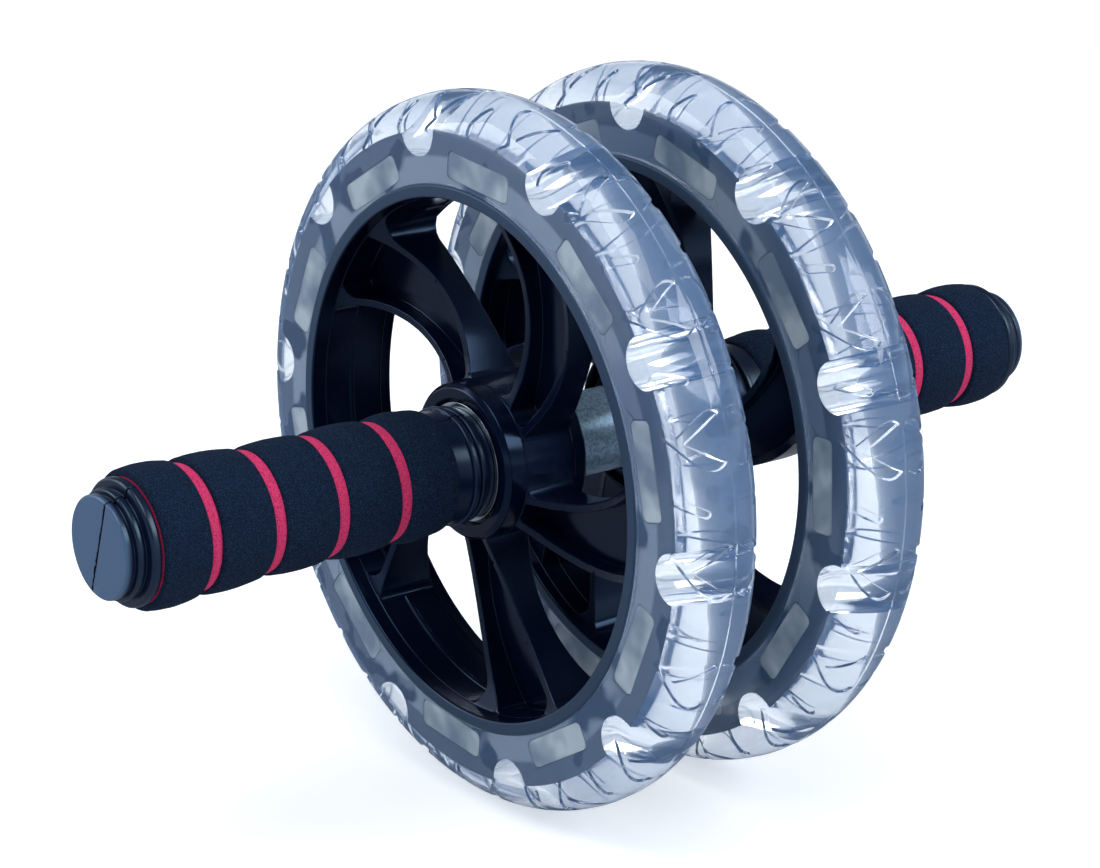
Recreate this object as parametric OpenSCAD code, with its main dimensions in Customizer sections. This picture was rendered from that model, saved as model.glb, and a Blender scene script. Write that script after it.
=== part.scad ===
// Ab wheel roller: two free-running wheels on one steel tube, with a foam grip at each end.
// The axle lies along Y. The origin is on the floor, midway between the wheels.

/* [Wheel] */
// Width of a wheel across its lips
wheel_w = 26; // [22:0.5:32]
// Space between the two wheels
wheel_gap = 28.8; // [20:0.2:40]
// Thickness of the rim's barrel
barrel_t = 3.6; // [2.4:0.1:4.5]
// Height of the moulding ridge round the middle of the barrel
ridge_h = 0.4; // [0.2:0.1:0.8]
// Width of the moulding ridge
ridge_w = 1.2; // [0.8:0.1:2]
// Turn of the left wheel about the axle
left_turn = 11; // [0:1:71]

/* [Blocks under the tyre] */
// Number of blocks round the rim
block_count = 10; // [8:1:12]
// Height of the blocks above the rim's lip
block_h = 13.3; // [11:0.1:15]
// How far the blocks' sides stand back from the lips
block_set = 2; // [1.5:0.1:3]
// Radius of the round valleys between blocks
valley_r = 7; // [5:0.1:8]
// Height of a valley's floor above the lip
valley_h = 6.8; // [5.5:0.1:8]
// Width of the window through a block
window_w = 25.4; // [14:0.1:27]
// Height of the window
window_h = 7.3; // [3:0.1:8]
// Wall between the barrel and a window
window_wall = 0.8; // [0.6:0.1:2]
// Corner radius of a window
window_e = 1.8; // [0.5:0.1:2.4]
// Angle of the first window, from the first spoke
block_phase = 13; // [0:1:35]

/* [Spokes] */
// Number of spokes
spoke_count = 5; // [3:1:5]
// Radius of the arc that each rib follows
swirl_r = 58.7; // [56:0.1:62]
// Distance of that arc's centre from the axle
swirl_d = 57; // [55:0.1:60]
// Angle of the first rib's arc centre
swirl_phase = 67; // [55:1:80]
// Angle between the two ribs of a spoke
rib_span = 23; // [18:1:28]
// Thickness of a rib
rib_t = 2.2; // [1.6:0.1:3]
// Thickness of the web between two ribs
web_t = 2.4; // [1.6:0.1:3]
// Depth of the web's face below the outer lip
web_set = 14; // [13:0.1:15]
// Radius at which the spokes are thinnest
dish_r = 42.5; // [38:0.5:48]
// Depth of the spokes' outer edges below the lip there
dish_out = 10; // [8:0.1:11]
// Depth of the spokes' inner edges below the inner lip there
dish_in = 7.7; // [5:0.1:8.5]
// Radius of the hollow along the outer edges
dish_out_r = 64; // [56:1:80]
// Radius of the hollow along the inner edges
dish_in_r = 85; // [70:1:110]
// Fillet between a rib and the barrel
rim_fillet = 5; // [2:0.1:6]
// Fillet between a rib and the hub
hub_fillet = 2.6; // [1:0.1:3]
// Fillet at the barrel in a spoke's own channel
channel_fillet = 3; // [1:0.1:4]

/* [Hub] */
// Outer radius of the hub
hub_r = 20.6; // [19.8:0.1:22]
// Wall of the hub's outer skin
hub_skin = 2.2; // [1.6:0.1:2.6]
// Chamfer round the hub's outer edge
hub_chamfer = 1.2; // [0.4:0.1:1.6]
// Radius of the recess that takes the handle's neck
recess_r = 16.6; // [16:0.1:17]
// Depth of that recess
recess_h = 3; // [2.8:0.1:4]
// Radius of the recess on the inner side
clip_recess_r = 14.4; // [14.2:0.1:14.8]
// Depth of the recess on the inner side
clip_recess_h = 4; // [3.9:0.1:6]
// Wall round the inner recess
clip_wall = 1.2; // [1:0.1:1.5]
// Depth of the cored pockets in the hub's inner end
pocket_h = 14; // [8:0.5:18]
// Number of pockets
pocket_count = 10; // [5:1:12]
// Wall between two pockets
pocket_rib = 1.8; // [1.2:0.1:2.5]

/* [Tyre] */
// Outer radius of the tyre
tyre_r = 94.4; // [92:0.1:97]
// Thickness of the tyre over the blocks
tyre_t = 9.1; // [7:0.1:11]
// Rounding of the tyre's shoulders
shoulder_r = 11.6; // [9:0.1:12]
// How far the tyre's sides stand back from the lips
tyre_set = 0.4; // [0.2:0.1:1]
// Depth of the tread grooves
tread_h = 1.2; // [0.6:0.1:1.6]
// Number of forked grooves round the tyre, on each side of its middle
fork_count = 18; // [12:1:18]
// Distance between the ends of a fork's arms
fork_w = 12; // [8:0.2:14]
// Distance of a fork's crotch from the tyre's middle
fork_l = 10.1; // [8:0.1:10.6]
// Distance of the arms' ends from the tyre's middle
fork_end = 1.2; // [0.6:0.1:2]
// Swell of the arms' outer sides
fork_belly = 1.2; // [0.6:0.1:1.6]
// Width of a fork's stem
stem_w = 3; // [2:0.1:4]
// Lean of the stem round the tyre
stem_lean = 4.3; // [0:0.1:6]
// Length of the short slots between the forks
slot_l = 6.7; // [4:0.1:8]
// Width of the short slots
slot_w = 1.9; // [1:0.1:2.4]
// Distance of the slots from the tyre's middle
slot_at = 9.4; // [6:0.1:9.8]
// Slant of the slots
slot_turn = 35; // [0:1:60]
// Angle of the first fork
tread_phase = 17.2; // [0:0.1:20]
// Turn of the left tyre on its rim
left_tread_turn = 3; // [0:0.5:20]

/* [Axle] */
// Outer diameter of the tube
tube_d = 22.2; // [21:0.1:23]
// Wall of the tube
tube_t = 1.6; // [1.2:0.1:2.5]
// Length of tube inside a handle
tube_in = 97; // [85:0.5:98]
// Depth of the clip grooves in the tube
groove_h = 0.6; // [0.4:0.05:0.8]
// Thickness of the retaining clips
clip_t = 1.2; // [1:0.1:1.3]
// Outer radius of the retaining clips
clip_r = 13.2; // [12.6:0.1:13.8]
// Opening of the retaining clips
clip_gap = 5; // [3:0.5:8]
// Thickness of the washers
washer_t = 1; // [0.8:0.1:1.1]
// Outer radius of the outer washers
outer_washer_r = 15.6; // [15:0.1:16]
// Outer radius of the inner washers
inner_washer_r = 13.8; // [13:0.1:14]
// Wall of the bushes
bush_t = 1.8; // [1.4:0.1:2]
// Length of a bush, flange included
bush_l = 9; // [6:0.5:10]
// Thickness of a bush's flange
bush_flange_t = 1.4; // [1:0.1:1.5]
// Rim of an outer bush's flange beyond its barrel
outer_flange = 2.3; // [1.5:0.1:2.6]
// Rim of an inner bush's flange beyond its barrel
inner_flange = 1.2; // [0.8:0.1:1.3]

/* [Handle] */
// Length of a handle, from the hub's face to the end
handle_l = 106.8; // [100:0.2:120]
// Radius of the handle's core under the foam
core_r = 13.6; // [13.4:0.1:14]
// Radius of the neck that enters the hub
neck_r = 14.2; // [14:0.1:15]
// Length of the neck
neck_l = 2.4; // [2:0.1:3]
// Radius of the collar between neck and foam
collar_r = 14.8; // [14.6:0.1:15.6]
// Length of the collar, neck included
collar_l = 11.4; // [10:0.1:14]
// Radius of the collar's small ring
ring_small_r = 15.2; // [15:0.1:16]
// Radius of the collar's large ring
ring_large_r = 15.6; // [15.2:0.1:16.4]
// Width of each ring on the collar
ring_w = 1.7; // [1.2:0.1:1.8]
// Space between the collar's rings
ring_gap = 0.9; // [0.5:0.1:1.2]
// Radius of the flange at the outer end of the foam
flange_r = 16.15; // [15.8:0.05:17]
// Width of that flange
flange_w = 2.8; // [2:0.1:3.5]
// Radius of the step outside the flange
step_r = 14; // [13.6:0.1:14.5]
// Width of that step
step_w = 2; // [1.5:0.1:2.5]
// Radius of the end face
face_r = 13.1; // [12:0.1:13.4]
// Length of the end beyond the step
face_l = 2.2; // [1.6:0.1:3]
// Depth of the narrow grooves between flange, step and face
end_groove = 0.7; // [0.4:0.1:0.9]
// Thickness of the end wall
end_wall = 3; // [2:0.1:3.5]
// Angle of the joint between a handle's halves, from level
seam_angle = 72; // [45:1:90]
// Gap at that joint
seam_gap = 0.2; // [0.1:0.05:0.3]

/* [Foam] */
// Outer radius of the black bands
band_r = 16.8; // [16.4:0.05:18]
// Radius of the red layer
liner_r = 15.4; // [15:0.05:15.8]
// Number of black bands
band_count = 5; // [3:1:6]
// Width of the groove between two bands
band_gap = 3; // [2:0.1:4]
// Fall of a band's surface from its middle to its edges
band_crown = 0.35; // [0.1:0.05:0.5]
// Rounding of a band's edges
band_edge = 0.5; // [0.3:0.05:0.6]
// Length over which the foam rounds down to the collar
nose_l = 6; // [4:0.1:8]
// How far the red layer shows at the outer end
liner_show = 0.6; // [0.3:0.1:1]

/* [Screws] */
// Radius of the screws' shank
screw_r = 1.9; // [1.5:0.05:2.2]
// Radius of the screws' head
screw_head_r = 3.5; // [3:0.05:3.8]
// Height of the screws' head
screw_head_h = 2; // [1.6:0.1:2.1]
// Distance of the first screw from the handle's inner end
screw_first = 30; // [20:1:38]
// Distance between a handle's two screws
screw_pitch = 48; // [35:1:52]
// Width of the cross slots in the heads
drive_w = 0.8; // [0.5:0.1:1]
// Depth of the cross slots
drive_h = 1; // [0.5:0.1:1.2]

/* [Fits] */
// Running clearance between tube and bushes
run_fit = 0.05; // [0.03:0.01:0.1]
// End clearance between parts that turn on each other
end_fit = 0.1; // [0.05:0.01:0.2]
// Clearance between parts that are pressed or moulded together
snug_fit = 0.03; // [0.01:0.01:0.05]
// Clearance round the screws' shanks in tube and front shell
hole_fit = 0.25; // [0.15:0.05:0.4]

/* [Hidden] */
$fn = 64;

black = "#23262c";
foam_black = "#1c2028";
foam_red = "#d8406f";
steel = "#c3c9d0";
clear = "#cfdcea";
nylon = "#fffff0";

// Places along the axle, measured outwards from the middle
wheel_in = wheel_gap / 2;
wheel_out = wheel_in + wheel_w;
wheel_mid = (wheel_in + wheel_out) / 2;
recess_floor = wheel_out - recess_h;
washer_out = recess_floor + bush_flange_t + end_fit;
handle_in = washer_out + washer_t + end_fit;
foam_in = handle_in + collar_l;
handle_end = wheel_out + handle_l;
step_in = handle_end - face_l - end_groove - step_w;
flange_out = step_in - end_groove;
flange_in = flange_out - flange_w;
foam_end = flange_in - snug_fit;
bands_end = foam_end - liner_show;
tube_end = wheel_out + tube_in;
clip_recess_floor = wheel_in + clip_recess_h;
inner_washer_at = clip_recess_floor - bush_flange_t - end_fit - washer_t;
clip_at = inner_washer_at - end_fit - clip_t;

// Radii
tube_r = tube_d / 2;
tube_bore = tube_r - tube_t;
bush_bore = tube_r + run_fit;
bush_r = bush_bore + bush_t;
hub_bore = bush_r + snug_fit;
block_r = tyre_r - tyre_t;
lip_r = block_r - block_h;
valley_floor = lip_r + valley_h;
barrel_r = lip_r - barrel_t;
shell_bore = tube_r + snug_fit;
liner_bore = core_r + snug_fit;
band_bore = liner_r + snug_fit;
window_in = lip_r + window_wall;
tyre_half = wheel_w / 2 - tyre_set;
block_half = wheel_w / 2 - block_set;
screw_normal = seam_angle - 90;
band_pitch = (bands_end - foam_in + band_gap) / band_count;
far = 2 * tyre_r;
skin = 0.05;

// Turns a shape drawn round Z into its place on the right or left half of the axle
module right_side() {
    translate([0, 0, tyre_r]) rotate([90, 0, 0]) children();
}
module left_side() {
    rotate([0, 0, 180]) right_side() children();
}
// The left wheel is a mirror image of the right one
module left_wheel_side() {
    left_side() rotate([0, 0, left_turn]) mirror([0, 1, 0]) children();
}

// Points on an arc about c from point p to point q, the short way round, both ends left out
function arc_between(c, p, q, n) =
    let (r = norm(p - c), a0 = atan2(p[1] - c[1], p[0] - c[0]), a1 = atan2(q[1] - c[1], q[0] - c[0]),
        turn = a1 - a0 > 180 ? a1 - a0 - 360 : a1 - a0 < -180 ? a1 - a0 + 360 : a1 - a0)
    [for (i = [1:n - 1]) c + r * [cos(a0 + turn * i / n), sin(a0 + turn * i / n)]];
// Outline of a section from radius r0 to r1 and height z0 to z1 with rounded outer corners
function round_rect(r0, r1, z0, z1, e, n = 4) = concat(
    [[r0, z0], [r1 - e, z0]],
    arc_between([r1 - e, z0 + e], [r1 - e, z0], [r1, z0 + e], n),
    [[r1, z0 + e], [r1, z1 - e]],
    arc_between([r1 - e, z1 - e], [r1, z1 - e], [r1 - e, z1], n),
    [[r1 - e, z1], [r0, z1]]);
module box_rz(r0, r1, z0, z1) {
    translate([r0, z0]) square([r1 - r0, z1 - z0]);
}
module ring_solid(r0, r1, z0, z1) {
    rotate_extrude() box_rz(r0, r1, z0, z1);
}

// Wheel

// The ribs follow arcs whose centres lie at swirl_d from the axle. This is the angle, from
// such a centre's own direction, at which a curve of radius rho about it passes radius r.
function swirl_angle(r, rho) = -acos((r * r + swirl_d * swirl_d - rho * rho) / (2 * r * swirl_d));
function polar(r, a) = r * [cos(a), sin(a)];
// A corner's fillet, from the side of radius rho about centre c to the wall of radius wall:
// f is signed, and adds to each radius to give the fillet's centre
function fillet_at(angle, rho, wall, f_side, f_wall) =
    polar(wall + f_wall, angle + swirl_angle(wall + f_wall, rho + f_side));
// Outline of the space between the arcs at angle0 and angle1, from hub to barrel, with filleted
// corners: the first arc bounds it from below and the second from above
function gap_outline(angle0, angle1, f_out, f_in, n) =
    let (c0 = polar(swirl_d, angle0), c1 = polar(swirl_d, angle1),
        rho0 = swirl_r - rib_t / 2, rho1 = swirl_r + rib_t / 2,
        wall_out = barrel_r - skin, wall_in = hub_r + skin,
        f0 = fillet_at(angle0, rho0, wall_in, -f_in, f_in),
        f1 = fillet_at(angle0, rho0, wall_out, -f_out, -f_out),
        f2 = fillet_at(angle1, rho1, wall_out, f_out, -f_out),
        f3 = fillet_at(angle1, rho1, wall_in, f_in, f_in),
        s0 = reach(c0, f0, rho0), s1 = reach(c0, f1, rho0),
        s2 = reach(c1, f2, rho1), s3 = reach(c1, f3, rho1),
        w0 = reach([0, 0], f0, wall_in), w1 = reach([0, 0], f1, wall_out),
        w2 = reach([0, 0], f2, wall_out), w3 = reach([0, 0], f3, wall_in))
    concat([s0], arc_between(c0, s0, s1, n), [s1], arc_between(f1, s1, w1, 5),
        [w1], arc_between([0, 0], w1, w2, n), [w2], arc_between(f2, w2, s2, 5),
        [s2], arc_between(c1, s2, s3, n), [s3], arc_between(f3, s3, w3, 4),
        [w3], arc_between([0, 0], w3, w0, 4), [w0], arc_between(f0, w0, s0, 4));
function reach(from, to, length) = from + (to - from) * length / norm(to - from);

// The spokes are a hollowed plate with gaps cut between them, and a channel in each face
module spokes() {
    turn = 360 / spoke_count;
    web_top = wheel_out - web_set;
    difference() {
        rotate_extrude() difference() {
            box_rz(hub_r - hub_skin / 2, barrel_r + barrel_t / 2, wheel_in + 1, wheel_out - 1);
            translate([dish_r, wheel_out - dish_out + dish_out_r]) circle(dish_out_r, $fn = 128);
            translate([dish_r, wheel_in + dish_in - dish_in_r]) circle(dish_in_r, $fn = 128);
        }
        for (k = [0:spoke_count - 1]) rotate(k * turn + swirl_phase) {
            translate([0, 0, wheel_in]) linear_extrude(wheel_w)
                polygon(gap_outline(0, turn - rib_span, rim_fillet, hub_fillet, 10));
            translate([0, 0, web_top]) linear_extrude(wheel_w)
                polygon(gap_outline(-rib_span, 0, channel_fillet, channel_fillet / 2, 7));
            translate([0, 0, web_top - web_t - wheel_w]) linear_extrude(wheel_w)
                polygon(gap_outline(-rib_span, 0, channel_fillet, channel_fillet / 2, 7));
        }
    }
}
module barrel() {
    edge = barrel_t / 8;
    ridge = ridge_w / 2;
    rotate_extrude() polygon([[barrel_r + edge, wheel_in], [lip_r - edge, wheel_in],
        [lip_r, wheel_in + edge], [lip_r, wheel_out - edge],
        [lip_r - edge, wheel_out], [barrel_r + edge, wheel_out],
        [barrel_r, wheel_out - edge], [barrel_r, wheel_mid + ridge],
        [barrel_r - ridge_h, wheel_mid + ridge], [barrel_r - ridge_h, wheel_mid - ridge],
        [barrel_r, wheel_mid - ridge], [barrel_r, wheel_in + edge]]);
}
module window(grow) {
    w = window_w / 2 - grow;
    e = window_e - grow;
    r0 = window_in + grow;
    r1 = window_in + window_h - grow;
    translate([r0, e - w]) square([r1 - r0, 2 * (w - e)]);
    translate([r0 + e, -w]) square([r1 - r0 - 2 * e, 2 * w]);
    for (r = [r0 + e, r1 - e], a = [e - w, w - e])
        translate([r, a]) circle(e, $fn = 24);
}
// The blocks' outline, which the tyre repeats with a little growth all round
module block_ring(grow) {
    step = 360 / block_count;
    difference() {
        circle(block_r + grow);
        circle(lip_r - barrel_t / 2);
        for (k = [0:block_count - 1]) {
            rotate(block_phase + (k + 0.5) * step)
                translate([valley_floor + valley_r, 0]) circle(valley_r - grow, $fn = 48);
            rotate(block_phase + k * step) window(grow);
        }
    }
}
module hub() {
    pocket_r0 = clip_recess_r + clip_wall;
    pocket_r1 = hub_r - hub_skin;
    difference() {
        rotate_extrude() difference() {
            polygon([[hub_bore, wheel_in], [hub_r - hub_chamfer, wheel_in],
                [hub_r, wheel_in + hub_chamfer], [hub_r, wheel_out - hub_chamfer],
                [hub_r - hub_chamfer, wheel_out], [hub_bore, wheel_out]]);
            box_rz(0, recess_r, recess_floor, wheel_out + 1);
            box_rz(0, clip_recess_r, wheel_in - 1, clip_recess_floor);
        }
        difference() {
            ring_solid(pocket_r0, pocket_r1, wheel_in - 1, wheel_in + pocket_h);
            for (k = [0:pocket_count - 1])
                rotate(k * 360 / pocket_count)
                    translate([0, -pocket_rib / 2, 0]) cube([hub_r, pocket_rib, wheel_out]);
        }
    }
}
module rim() {
    color(black) {
        barrel();
        spokes();
        hub();
        translate([0, 0, wheel_mid - block_half]) linear_extrude(2 * block_half) block_ring(0);
    }
}

// The tyre's cross section, drawn in by inset
module tyre_outline(inset) {
    half = tyre_half - inset;
    polygon(round_rect(lip_r + snug_fit, tyre_r - inset, wheel_mid - half, wheel_mid + half,
        shoulder_r - inset, 8));
}
// Points on a smooth curve with ends p and s that leaves p towards q and reaches s from r
function curve(p, q, r, s, n) = [for (i = [0:n]) let (t = i / n, u = 1 - t)
    u * u * u * p + 3 * u * u * t * q + 3 * u * t * t * r + t * t * t * s];
// A forked groove on one side of the tyre's middle: two arms from the middle that join in a
// stem, which leans as it runs out over the shoulder. X goes round the tyre and Y across it.
module fork() {
    arm = fork_w / 2;
    outside = wheel_w / 2;
    crotch = [0, fork_l];
    polygon(concat(
        curve([arm, fork_end], [arm + 2 * fork_belly, fork_l / 3],
            [arm + fork_belly / 2, fork_l * 0.7], [stem_w / 2, fork_l + stem_w / 3], 5),
        [[stem_lean + stem_w / 2, outside]],
        curve([stem_lean - stem_w / 2, outside], [-(arm + fork_belly) / 2, fork_l + stem_w / 4],
            [-arm - 4 * fork_belly, fork_l * 0.6], [-arm, fork_end], 7),
        curve([-arm, fork_end], [-arm + fork_belly / 2, fork_l / 3], [-arm / 3, fork_l * 0.8], crotch, 3),
        curve(crotch, [arm / 3, fork_l * 0.8], [arm - fork_belly / 2, fork_l / 3], [arm, fork_end], 3)));
}
module shoulder_slot() {
    rotate(-slot_turn) {
        square([slot_w, slot_l - slot_w], center = true);
        for (s = [-1, 1]) translate([0, s * (slot_l - slot_w) / 2]) circle(slot_w / 2, $fn = 24);
    }
}
// Stands a shape on the tyre's middle line at an angle, running out through the tread
module on_tread(angle) {
    rotate(angle) translate([tyre_r - shoulder_r, 0, wheel_mid])
        rotate([90, 0, 90]) linear_extrude(shoulder_r + 1) children();
}
module tread_cuts(turn) {
    step = 360 / fork_count;
    for (k = [0:fork_count - 1], side = [0, 1]) {
        on_tread(tread_phase + turn + k * step) mirror([0, side]) fork();
        on_tread(tread_phase + turn + (k + 0.5) * step)
            mirror([0, side]) translate([0, slot_at]) shoulder_slot();
    }
}
module tyre(turn = 0) {
    color(clear, 0.6) difference() {
        union() {
            rotate_extrude() tyre_outline(tread_h);
            difference() {
                rotate_extrude() tyre_outline(0);
                tread_cuts(turn);
            }
        }
        translate([0, 0, wheel_mid - block_half - snug_fit])
            linear_extrude(2 * (block_half + snug_fit)) block_ring(snug_fit);
    }
}

// Bushes, washers and clips

module outer_bush() {
    color(nylon) {
        ring_solid(bush_bore, bush_r, recess_floor + bush_flange_t - bush_l, recess_floor + bush_flange_t);
        ring_solid(bush_bore, bush_r + outer_flange, recess_floor, recess_floor + bush_flange_t);
    }
}
module inner_bush() {
    flange_at = clip_recess_floor - bush_flange_t;
    color(nylon) {
        ring_solid(bush_bore, bush_r, flange_at, flange_at + bush_l);
        ring_solid(bush_bore, bush_r + inner_flange, flange_at, clip_recess_floor);
    }
}
module outer_washer() {
    color(steel) ring_solid(bush_bore, outer_washer_r, washer_out, washer_out + washer_t);
}
module inner_washer() {
    color(steel) ring_solid(bush_bore, inner_washer_r, inner_washer_at, inner_washer_at + washer_t);
}
module circlip() {
    color(steel) difference() {
        ring_solid(tube_r - groove_h + snug_fit, clip_r, clip_at, clip_at + clip_t);
        translate([0, -clip_gap / 2, 0]) cube([far, clip_gap, wheel_out]);
    }
}

// Axle

module screw_places() {
    for (z = [screw_first, screw_first + screw_pitch])
        translate([0, 0, handle_in + z]) rotate([0, 0, screw_normal]) rotate([0, 90, 0]) children();
}
module half_axle() {
    difference() {
        ring_solid(tube_bore, tube_r, 0, tube_end);
        ring_solid(tube_r - groove_h, tube_r + 1, clip_at - snug_fit, clip_at + clip_t + snug_fit);
        screw_places() translate([0, 0, -core_r]) cylinder(r = screw_r + hole_fit, h = 2 * core_r);
    }
}
module axle_tube() {
    color(steel) {
        right_side() half_axle();
        left_side() half_axle();
    }
}

// Handle

// A handle's section, walked from the neck in the hub out to the end and back up the bore
module handle_outline() {
    small_at = handle_in + neck_l;
    large_at = small_at + ring_w + ring_gap;
    bore_end = handle_end - end_wall;
    polygon(concat([[shell_bore, handle_in], [neck_r, handle_in]],
        round_rect(neck_r, ring_small_r, small_at, small_at + ring_w, ring_w / 4, 3),
        round_rect(neck_r, ring_large_r, large_at, large_at + ring_w, ring_w / 4, 3),
        [[collar_r, large_at + ring_w], [collar_r, foam_in], [core_r, foam_in], [core_r, flange_in]],
        round_rect(core_r, flange_r, flange_in, flange_out, flange_w / 3),
        [[step_r - end_groove, flange_out]],
        round_rect(step_r - end_groove, step_r, step_in, step_in + step_w, end_groove * 0.9, 3),
        [[face_r - end_groove, step_in + step_w], [face_r - end_groove, handle_end - face_l]],
        round_rect(face_r - end_groove, face_r, handle_end - face_l, handle_end, end_groove * 0.9, 3),
        [[0, handle_end], [0, bore_end], [shell_bore, bore_end]]));
}
module half_shell(side) {
    cut_from = side > 0 ? seam_gap / 2 : -far - seam_gap / 2;
    color(black) difference() {
        intersection() {
            rotate_extrude() handle_outline();
            rotate([0, 0, screw_normal]) translate([cut_from, -far, 0]) cube([far, 2 * far, 2 * far]);
        }
        if (side > 0) screw_places() {
            cylinder(r = screw_r + hole_fit, h = core_r);
            translate([0, 0, core_r - screw_head_h - hole_fit])
                cylinder(r1 = screw_r + hole_fit, r2 = screw_head_r + hole_fit, h = screw_head_h);
            translate([0, 0, core_r - hole_fit]) cylinder(r = screw_head_r + hole_fit, h = screw_head_h);
        }
        else screw_places() translate([0, 0, -far]) cylinder(r = screw_r + snug_fit, h = far);
    }
}
module screws() {
    tip = core_r - 2 * hole_fit;
    color(steel) screw_places() difference() {
        union() {
            translate([0, 0, -tip]) cylinder(r = screw_r, h = 2 * tip - screw_head_h);
            translate([0, 0, tip - screw_head_h]) cylinder(r1 = screw_r, r2 = screw_head_r, h = screw_head_h);
        }
        for (turn = [0, 90]) rotate([0, 0, turn])
            translate([-screw_head_r / 2, -drive_w / 2, tip - drive_h])
                cube([screw_head_r, drive_w, drive_h + 1]);
    }
}

// Foam

module grip_liner() {
    color(foam_red) ring_solid(liner_bore, liner_r, foam_in + band_edge + snug_fit, foam_end);
}
// One band: a crowned ring. The first one also rounds down over the liner's end.
module band(k) {
    z0 = foam_in + k * band_pitch;
    z1 = z0 + band_pitch - band_gap;
    nose = k == 0 ? nose_l : band_edge;
    drop = k == 0 ? band_r - collar_r : band_edge;
    crown = [for (i = [0:8]) let (t = i / 8)
        [band_r - band_crown * pow(2 * t - 1, 2), z0 + nose + t * (z1 - band_edge - z0 - nose)]];
    rotate_extrude() polygon(concat(
        k == 0 ? [[band_bore, z0 + band_edge], [liner_bore, z0 + band_edge], [liner_bore, z0]]
            : [[band_bore, z0]],
        [for (i = [0:5]) [band_r - band_crown - drop * (1 - sin(15 * i)), z0 + nose * (1 - cos(15 * i))]],
        crown,
        [[band_r - band_crown - band_edge, z1], [band_bore, z1]]));
}
module grip_bands() {
    color(foam_black) for (k = [0:band_count - 1]) band(k);
}

axle_tube();
right_side() half_shell(1);  // right_handle_front_shell
right_side() half_shell(-1);  // right_handle_rear_shell
right_side() screws();  // right_handle_screws
right_side() grip_liner();  // right_grip_liner
right_side() grip_bands();  // right_grip_bands
left_side() half_shell(-1);  // left_handle_front_shell
left_side() half_shell(1);  // left_handle_rear_shell
left_side() screws();  // left_handle_screws
left_side() grip_liner();  // left_grip_liner
left_side() grip_bands();  // left_grip_bands
right_side() outer_washer();  // right_outer_washer
right_side() inner_washer();  // right_inner_washer
right_side() circlip();  // right_circlip
left_side() outer_washer();  // left_outer_washer
left_side() inner_washer();  // left_inner_washer
left_side() circlip();  // left_circlip
right_side() rim();  // right_rim
right_side() tyre();  // right_tyre
right_side() outer_bush();  // right_outer_bush
right_side() inner_bush();  // right_inner_bush
left_wheel_side() rim();  // left_rim
left_wheel_side() tyre(left_tread_turn);  // left_tyre
left_side() outer_bush();  // left_outer_bush
left_side() inner_bush();  // left_inner_bush
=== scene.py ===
import bpy
import bmesh
import math
import numpy as np
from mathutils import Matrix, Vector
from mathutils.geometry import delaunay_2d_cdt


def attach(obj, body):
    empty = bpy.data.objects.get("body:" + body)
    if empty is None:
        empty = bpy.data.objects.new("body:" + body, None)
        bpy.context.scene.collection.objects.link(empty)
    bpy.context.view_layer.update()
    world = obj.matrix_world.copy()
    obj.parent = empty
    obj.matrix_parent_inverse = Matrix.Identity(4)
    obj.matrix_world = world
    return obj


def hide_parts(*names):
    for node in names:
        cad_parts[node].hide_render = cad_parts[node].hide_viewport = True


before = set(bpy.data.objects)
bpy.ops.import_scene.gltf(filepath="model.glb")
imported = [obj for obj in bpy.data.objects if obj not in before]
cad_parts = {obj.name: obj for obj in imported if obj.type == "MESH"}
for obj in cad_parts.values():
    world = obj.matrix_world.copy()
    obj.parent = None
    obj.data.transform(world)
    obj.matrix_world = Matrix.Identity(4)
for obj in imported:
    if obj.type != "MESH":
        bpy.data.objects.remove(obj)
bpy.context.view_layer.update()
mm = 0.001
axleHeight = 94.4
ends = (("right", -1), ("left", 1))  # each end of the axle with its sign of Y
print("frame loaded,", len(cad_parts), "nodes")


def addObject(name, data):
    made = bpy.data.objects.new(name, data)
    bpy.context.scene.collection.objects.link(made)
    return made


# Camera

photoView = {
    "azimuth": 52.745, "elevation": 18.093,  # degrees
    "distance": 943.6, "lens": 117.49,  # mm from the axle's middle, mm on a 36 mm sensor
    "asideBy": 9.1, "upBy": 0.35,  # mm that the view is moved sideways and up
}


def placeCamera(view):
    a, e = math.radians(view["azimuth"]), math.radians(view["elevation"])
    back = Vector((math.sin(a) * math.cos(e), -math.cos(a) * math.cos(e), math.sin(e)))
    right = Vector((math.cos(a), math.sin(a), 0))
    up = back.cross(right)
    camera = addObject("photoCamera", bpy.data.cameras.new("photoCamera"))
    camera.data.lens = view["lens"]
    camera.data.sensor_width = 36
    camera.data.clip_start, camera.data.clip_end = 0.05, 60
    centre = Vector((0, 0, axleHeight))
    camera.location = (centre + back * view["distance"] - right * view["asideBy"] - up * view["upBy"]) * mm
    camera.rotation_mode = "QUATERNION"
    camera.rotation_quaternion = (-back).to_track_quat("-Z", "Y")
    bpy.context.scene.camera = camera
    print("camera placed")


placeCamera(photoView)


# Shader maths

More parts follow.
